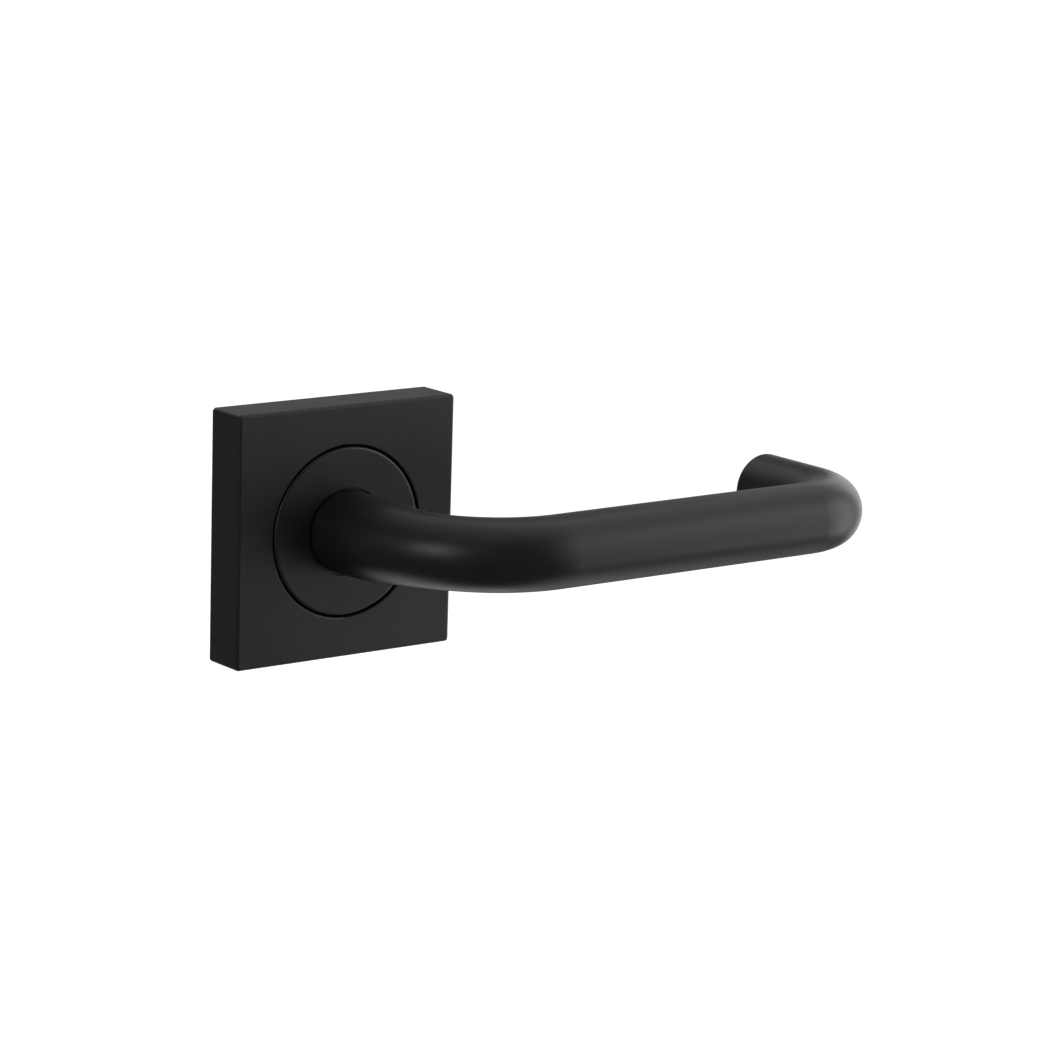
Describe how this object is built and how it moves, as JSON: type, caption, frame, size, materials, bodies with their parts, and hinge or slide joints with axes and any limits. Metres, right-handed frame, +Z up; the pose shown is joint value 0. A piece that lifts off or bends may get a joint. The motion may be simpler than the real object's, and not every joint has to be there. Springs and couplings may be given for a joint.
{
  "type": "door lever handle",
  "caption": "Sprung lever handle on a square rose: round collar, curved neck, round bar grip with a short return, square spindle.",
  "frame": {"origin": "on the spindle's axis, in the plane of the door's face, at the centre of the rose's back", "axes": "-Y towards the user, +Y into the door along the spindle, +X along the lever, +Z up; lever level at rest"},
  "size_m": [0.137, 0.0785, 0.052],
  "materials": {
    "black_finish": "satin matte black powder coat",
    "bush_plastic": "moulded acetal, black",
    "zinc_casting": "raw zinc die-casting",
    "plated_steel": "zinc-plated steel",
    "spring_steel": "oiled spring steel",
    "black_steel": "black oxide steel"
  },
  "bodies": {
    "rose_base": {"base_plate": "zinc_casting", "fixing_posts": "plated_steel", "stop_pins": "plated_steel", "spring_anchor_pin": "plated_steel", "rear_bush": "bush_plastic", "collar_housing": "black_finish", "neck_bush": "bush_plastic", "housing_screws": "plated_steel", "cover_clips": "spring_steel", "clip_rivets": "plated_steel", "return_spring": "spring_steel"},
    "rose_cover": {"rose_cover": "black_finish"},
    "lever": {"lever": "black_finish", "hub_sleeve": "plated_steel", "drive_plate": "plated_steel", "spring_washer": "spring_steel", "thrust_washer": "bush_plastic", "circlip": "spring_steel", "spindle": "plated_steel", "spindle_screw": "black_steel"}
  },
  "joints": [
    {"name": "lever_turn", "type": "hinge", "parent": "rose_base", "child": "lever", "pos_m": [0, 0, 0], "axis": [0, 1, 0], "range_deg": [-45, 45], "stiffness_Nm_per_rad": 0.8, "springref_deg": -6.88, "deforming": ["return_spring"]},
    {"name": "rose_cover_slide", "type": "slide", "parent": "rose_base", "child": "rose_cover", "axis": [0, -1, 0], "range_m": [0, 0.022]}
  ]
}
